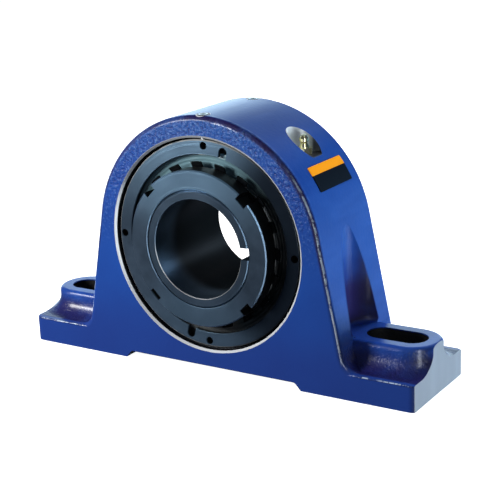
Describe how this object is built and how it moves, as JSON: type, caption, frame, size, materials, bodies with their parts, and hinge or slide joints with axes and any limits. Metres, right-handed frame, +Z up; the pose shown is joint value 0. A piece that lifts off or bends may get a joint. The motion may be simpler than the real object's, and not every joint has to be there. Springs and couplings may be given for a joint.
{
  "type": "pillow block bearing",
  "caption": "Cast pillow block on a slotted foot, holding a self-aligning roller bearing on a split tapered sleeve with a locknut, tabbed lockwasher, threaded covers and a grease nipple.",
  "frame": {"origin": "on the shaft axis, at the middle of the bearing", "axes": "+Y along the shaft from the locknut's side into the housing, +X along the foot towards the grease nipple's side, +Z up from the foot"},
  "size_m": [0.3239, 0.0879, 0.1876],
  "materials": {
    "blue_enamel": "glossy blue enamel over a cast surface",
    "black_steel": "black oxide, oiled",
    "seal_rubber": "glossy moulded rubber",
    "ground_steel": "ground and polished",
    "cage_brass": "machined",
    "nipple_plating": "yellow zinc plating",
    "label_print": "printed film, orange above black"
  },
  "bodies": {
    "root": {"housing": "blue_enamel", "front_cover": "black_steel", "rear_cover": "black_steel", "front_seal": "seal_rubber", "rear_seal": "seal_rubber", "outer_ring": "ground_steel", "grease_nipple": "nipple_plating", "nipple_spring": "ground_steel", "front_lock_screw": "black_steel", "rear_lock_screw": "black_steel", "label": "label_print"},
    "aligning_set": {"guide_ring": "ground_steel"},
    "shaft_set": {"inner_ring": "ground_steel", "adapter_sleeve": "black_steel", "lockwasher": "black_steel", "locknut": "black_steel"},
    "front_cage": {"front_cage": "cage_brass"},
    "rear_cage": {"rear_cage": "cage_brass"},
    "nipple_ball": {"nipple_ball": "ground_steel"},
    "front_roller_01": {"front_roller_01": "ground_steel"},
    "front_roller_02": {"front_roller_02": "ground_steel"},
    "front_roller_03": {"front_roller_03": "ground_steel"},
    "front_roller_04": {"front_roller_04": "ground_steel"},
    "front_roller_05": {"front_roller_05": "ground_steel"},
    "front_roller_06": {"front_roller_06": "ground_steel"},
    "front_roller_07": {"front_roller_07": "ground_steel"},
    "front_roller_08": {"front_roller_08": "ground_steel"},
    "front_roller_09": {"front_roller_09": "ground_steel"},
    "front_roller_10": {"front_roller_10": "ground_steel"},
    "front_roller_11": {"front_roller_11": "ground_steel"},
    "front_roller_12": {"front_roller_12": "ground_steel"},
    "front_roller_13": {"front_roller_13": "ground_steel"},
    "front_roller_14": {"front_roller_14": "ground_steel"},
    "front_roller_15": {"front_roller_15": "ground_steel"},
    "front_roller_16": {"front_roller_16": "ground_steel"},
    "front_roller_17": {"front_roller_17": "ground_steel"},
    "rear_roller_01": {"rear_roller_01": "ground_steel"},
    "rear_roller_02": {"rear_roller_02": "ground_steel"},
    "rear_roller_03": {"rear_roller_03": "ground_steel"},
    "rear_roller_04": {"rear_roller_04": "ground_steel"},
    "rear_roller_05": {"rear_roller_05": "ground_steel"},
    "rear_roller_06": {"rear_roller_06": "ground_steel"},
    "rear_roller_07": {"rear_roller_07": "ground_steel"},
    "rear_roller_08": {"rear_roller_08": "ground_steel"},
    "rear_roller_09": {"rear_roller_09": "ground_steel"},
    "rear_roller_10": {"rear_roller_10": "ground_steel"},
    "rear_roller_11": {"rear_roller_11": "ground_steel"},
    "rear_roller_12": {"rear_roller_12": "ground_steel"},
    "rear_roller_13": {"rear_roller_13": "ground_steel"},
    "rear_roller_14": {"rear_roller_14": "ground_steel"},
    "rear_roller_15": {"rear_roller_15": "ground_steel"},
    "rear_roller_16": {"rear_roller_16": "ground_steel"},
    "rear_roller_17": {"rear_roller_17": "ground_steel"}
  },
  "joints": [
    {"name": "self_align", "type": "hinge", "parent": "root", "child": "aligning_set", "pos_m": [0, 0, 0], "axis": [1, 0, 0], "range_deg": [-1, 1]},
    {"name": "shaft_spin", "type": "hinge", "parent": "aligning_set", "child": "shaft_set", "pos_m": [0, 0, 0], "axis": [0, 1, 0], "continuous": true},
    {"name": "nipple_ball_slide", "type": "slide", "parent": "root", "child": "nipple_ball", "axis": [0, 0, -1], "range_m": [0, 0.001], "stiffness_N_per_m": 150, "springref_m": -0.001, "deforming": ["nipple_spring"]},
    {"name": "front_cage_spin", "type": "hinge", "parent": "aligning_set", "child": "front_cage", "pos_m": [0, 0, 0], "axis": [0, 1, 0], "continuous": true},
    {"name": "front_roller_01_spin", "type": "hinge", "parent": "front_cage", "child": "front_roller_01", "pos_m": [0.05738, -0.00945, 0.01073], "axis": [0.1572, 0.9871, 0.0294], "continuous": true},
    {"name": "front_roller_02_spin", "type": "hinge", "parent": "front_cage", "child": "front_roller_02", "pos_m": [0.04963, -0.00945, 0.03073], "axis": [0.1359, 0.9871, 0.0842], "continuous": true},
    {"name": "front_roller_03_spin", "type": "hinge", "parent": "front_cage", "child": "front_roller_03", "pos_m": [0.03518, -0.00945, 0.04658], "axis": [0.0963, 0.9871, 0.1276], "continuous": true},
    {"name": "front_roller_04_spin", "type": "hinge", "parent": "front_cage", "child": "front_roller_04", "pos_m": [0.01597, -0.00945, 0.05614], "axis": [0.0438, 0.9871, 0.1538], "continuous": true},
    {"name": "front_roller_05_spin", "type": "hinge", "parent": "front_cage", "child": "front_roller_05", "pos_m": [-0.00539, -0.00945, 0.05812], "axis": [-0.0148, 0.9871, 0.1592], "continuous": true},
    {"name": "front_roller_06_spin", "type": "hinge", "parent": "front_cage", "child": "front_roller_06", "pos_m": [-0.02602, -0.00945, 0.05225], "axis": [-0.0713, 0.9871, 0.1431], "continuous": true},
    {"name": "front_roller_07_spin", "type": "hinge", "parent": "front_cage", "child": "front_roller_07", "pos_m": [-0.04314, -0.00945, 0.03932], "axis": [-0.1182, 0.9871, 0.1077], "continuous": true},
    {"name": "front_roller_08_spin", "type": "hinge", "parent": "front_cage", "child": "front_roller_08", "pos_m": [-0.05443, -0.00945, 0.02109], "axis": [-0.1491, 0.9871, 0.0578], "continuous": true},
    {"name": "front_roller_09_spin", "type": "hinge", "parent": "front_cage", "child": "front_roller_09", "pos_m": [-0.05837, -0.00945, 0], "axis": [-0.1599, 0.9871, 0], "continuous": true},
    {"name": "front_roller_10_spin", "type": "hinge", "parent": "front_cage", "child": "front_roller_10", "pos_m": [-0.05443, -0.00945, -0.02109], "axis": [-0.1491, 0.9871, -0.0578], "continuous": true},
    {"name": "front_roller_11_spin", "type": "hinge", "parent": "front_cage", "child": "front_roller_11", "pos_m": [-0.04314, -0.00945, -0.03932], "axis": [-0.1182, 0.9871, -0.1077], "continuous": true},
    {"name": "front_roller_12_spin", "type": "hinge", "parent": "front_cage", "child": "front_roller_12", "pos_m": [-0.02602, -0.00945, -0.05225], "axis": [-0.0713, 0.9871, -0.1431], "continuous": true},
    {"name": "front_roller_13_spin", "type": "hinge", "parent": "front_cage", "child": "front_roller_13", "pos_m": [-0.00539, -0.00945, -0.05812], "axis": [-0.0148, 0.9871, -0.1592], "continuous": true},
    {"name": "front_roller_14_spin", "type": "hinge", "parent": "front_cage", "child": "front_roller_14", "pos_m": [0.01597, -0.00945, -0.05614], "axis": [0.0438, 0.9871, -0.1538], "continuous": true},
    {"name": "front_roller_15_spin", "type": "hinge", "parent": "front_cage", "child": "front_roller_15", "pos_m": [0.03518, -0.00945, -0.04658], "axis": [0.0963, 0.9871, -0.1276], "continuous": true},
    {"name": "front_roller_16_spin", "type": "hinge", "parent": "front_cage", "child": "front_roller_16", "pos_m": [0.04963, -0.00945, -0.03073], "axis": [0.1359, 0.9871, -0.0842], "continuous": true},
    {"name": "front_roller_17_spin", "type": "hinge", "parent": "front_cage", "child": "front_roller_17", "pos_m": [0.05738, -0.00945, -0.01073], "axis": [0.1572, 0.9871, -0.0294], "continuous": true},
    {"name": "rear_cage_spin", "type": "hinge", "parent": "aligning_set", "child": "rear_cage", "pos_m": [0, 0, 0], "axis": [0, 1, 0], "continuous": true},
    {"name": "rear_roller_01_spin", "type": "hinge", "parent": "rear_cage", "child": "rear_roller_01", "pos_m": [0.05837, 0.00945, 0], "axis": [-0.1599, 0.9871, 0], "continuous": true},
    {"name": "rear_roller_02_spin", "type": "hinge", "parent": "rear_cage", "child": "rear_roller_02", "pos_m": [0.05443, 0.00945, 0.02109], "axis": [-0.1491, 0.9871, -0.0578], "continuous": true},
    {"name": "rear_roller_03_spin", "type": "hinge", "parent": "rear_cage", "child": "rear_roller_03", "pos_m": [0.04314, 0.00945, 0.03932], "axis": [-0.1182, 0.9871, -0.1077], "continuous": true},
    {"name": "rear_roller_04_spin", "type": "hinge", "parent": "rear_cage", "child": "rear_roller_04", "pos_m": [0.02602, 0.00945, 0.05225], "axis": [-0.0713, 0.9871, -0.1431], "continuous": true},
    {"name": "rear_roller_05_spin", "type": "hinge", "parent": "rear_cage", "child": "rear_roller_05", "pos_m": [0.00539, 0.00945, 0.05812], "axis": [-0.0148, 0.9871, -0.1592], "continuous": true},
    {"name": "rear_roller_06_spin", "type": "hinge", "parent": "rear_cage", "child": "rear_roller_06", "pos_m": [-0.01597, 0.00945, 0.05614], "axis": [0.0438, 0.9871, -0.1538], "continuous": true},
    {"name": "rear_roller_07_spin", "type": "hinge", "parent": "rear_cage", "child": "rear_roller_07", "pos_m": [-0.03518, 0.00945, 0.04658], "axis": [0.0963, 0.9871, -0.1276], "continuous": true},
    {"name": "rear_roller_08_spin", "type": "hinge", "parent": "rear_cage", "child": "rear_roller_08", "pos_m": [-0.04963, 0.00945, 0.03073], "axis": [0.1359, 0.9871, -0.0842], "continuous": true},
    {"name": "rear_roller_09_spin", "type": "hinge", "parent": "rear_cage", "child": "rear_roller_09", "pos_m": [-0.05738, 0.00945, 0.01073], "axis": [0.1572, 0.9871, -0.0294], "continuous": true},
    {"name": "rear_roller_10_spin", "type": "hinge", "parent": "rear_cage", "child": "rear_roller_10", "pos_m": [-0.05738, 0.00945, -0.01073], "axis": [0.1572, 0.9871, 0.0294], "continuous": true},
    {"name": "rear_roller_11_spin", "type": "hinge", "parent": "rear_cage", "child": "rear_roller_11", "pos_m": [-0.04963, 0.00945, -0.03073], "axis": [0.1359, 0.9871, 0.0842], "continuous": true},
    {"name": "rear_roller_12_spin", "type": "hinge", "parent": "rear_cage", "child": "rear_roller_12", "pos_m": [-0.03518, 0.00945, -0.04658], "axis": [0.0963, 0.9871, 0.1276], "continuous": true},
    {"name": "rear_roller_13_spin", "type": "hinge", "parent": "rear_cage", "child": "rear_roller_13", "pos_m": [-0.01597, 0.00945, -0.05614], "axis": [0.0438, 0.9871, 0.1538], "continuous": true},
    {"name": "rear_roller_14_spin", "type": "hinge", "parent": "rear_cage", "child": "rear_roller_14", "pos_m": [0.00539, 0.00945, -0.05812], "axis": [-0.0148, 0.9871, 0.1592], "continuous": true},
    {"name": "rear_roller_15_spin", "type": "hinge", "parent": "rear_cage", "child": "rear_roller_15", "pos_m": [0.02602, 0.00945, -0.05225], "axis": [-0.0713, 0.9871, 0.1431], "continuous": true},
    {"name": "rear_roller_16_spin", "type": "hinge", "parent": "rear_cage", "child": "rear_roller_16", "pos_m": [0.04314, 0.00945, -0.03932], "axis": [-0.1182, 0.9871, 0.1077], "continuous": true},
    {"name": "rear_roller_17_spin", "type": "hinge", "parent": "rear_cage", "child": "rear_roller_17", "pos_m": [0.05443, 0.00945, -0.02109], "axis": [-0.1491, 0.9871, 0.0578], "continuous": true}
  ],
  "couplings": [
    {"joint": "front_cage_spin", "follows": "shaft_spin", "ratio": 0.42601},
    {"joint": "front_roller_01_spin", "follows": "shaft_spin", "ratio": -3.2624},
    {"joint": "front_roller_02_spin", "follows": "shaft_spin", "ratio": -3.2624},
    {"joint": "front_roller_03_spin", "follows": "shaft_spin", "ratio": -3.2624},
    {"joint": "front_roller_04_spin", "follows": "shaft_spin", "ratio": -3.2624},
    {"joint": "front_roller_05_spin", "follows": "shaft_spin", "ratio": -3.2624},
    {"joint": "front_roller_06_spin", "follows": "shaft_spin", "ratio": -3.2624},
    {"joint": "front_roller_07_spin", "follows": "shaft_spin", "ratio": -3.2624},
    {"joint": "front_roller_08_spin", "follows": "shaft_spin", "ratio": -3.2624},
    {"joint": "front_roller_09_spin", "follows": "shaft_spin", "ratio": -3.2624},
    {"joint": "front_roller_10_spin", "follows": "shaft_spin", "ratio": -3.2624},
    {"joint": "front_roller_11_spin", "follows": "shaft_spin", "ratio": -3.2624},
    {"joint": "front_roller_12_spin", "follows": "shaft_spin", "ratio": -3.2624},
    {"joint": "front_roller_13_spin", "follows": "shaft_spin", "ratio": -3.2624},
    {"joint": "front_roller_14_spin", "follows": "shaft_spin", "ratio": -3.2624},
    {"joint": "front_roller_15_spin", "follows": "shaft_spin", "ratio": -3.2624},
    {"joint": "front_roller_16_spin", "follows": "shaft_spin", "ratio": -3.2624},
    {"joint": "front_roller_17_spin", "follows": "shaft_spin", "ratio": -3.2624},
    {"joint": "rear_cage_spin", "follows": "shaft_spin", "ratio": 0.42601},
    {"joint": "rear_roller_01_spin", "follows": "shaft_spin", "ratio": -3.2624},
    {"joint": "rear_roller_02_spin", "follows": "shaft_spin", "ratio": -3.2624},
    {"joint": "rear_roller_03_spin", "follows": "shaft_spin", "ratio": -3.2624},
    {"joint": "rear_roller_04_spin", "follows": "shaft_spin", "ratio": -3.2624},
    {"joint": "rear_roller_05_spin", "follows": "shaft_spin", "ratio": -3.2624},
    {"joint": "rear_roller_06_spin", "follows": "shaft_spin", "ratio": -3.2624},
    {"joint": "rear_roller_07_spin", "follows": "shaft_spin", "ratio": -3.2624},
    {"joint": "rear_roller_08_spin", "follows": "shaft_spin", "ratio": -3.2624},
    {"joint": "rear_roller_09_spin", "follows": "shaft_spin", "ratio": -3.2624},
    {"joint": "rear_roller_10_spin", "follows": "shaft_spin", "ratio": -3.2624},
    {"joint": "rear_roller_11_spin", "follows": "shaft_spin", "ratio": -3.2624},
    {"joint": "rear_roller_12_spin", "follows": "shaft_spin", "ratio": -3.2624},
    {"joint": "rear_roller_13_spin", "follows": "shaft_spin", "ratio": -3.2624},
    {"joint": "rear_roller_14_spin", "follows": "shaft_spin", "ratio": -3.2624},
    {"joint": "rear_roller_15_spin", "follows": "shaft_spin", "ratio": -3.2624},
    {"joint": "rear_roller_16_spin", "follows": "shaft_spin", "ratio": -3.2624},
    {"joint": "rear_roller_17_spin", "follows": "shaft_spin", "ratio": -3.2624}
  ]
}
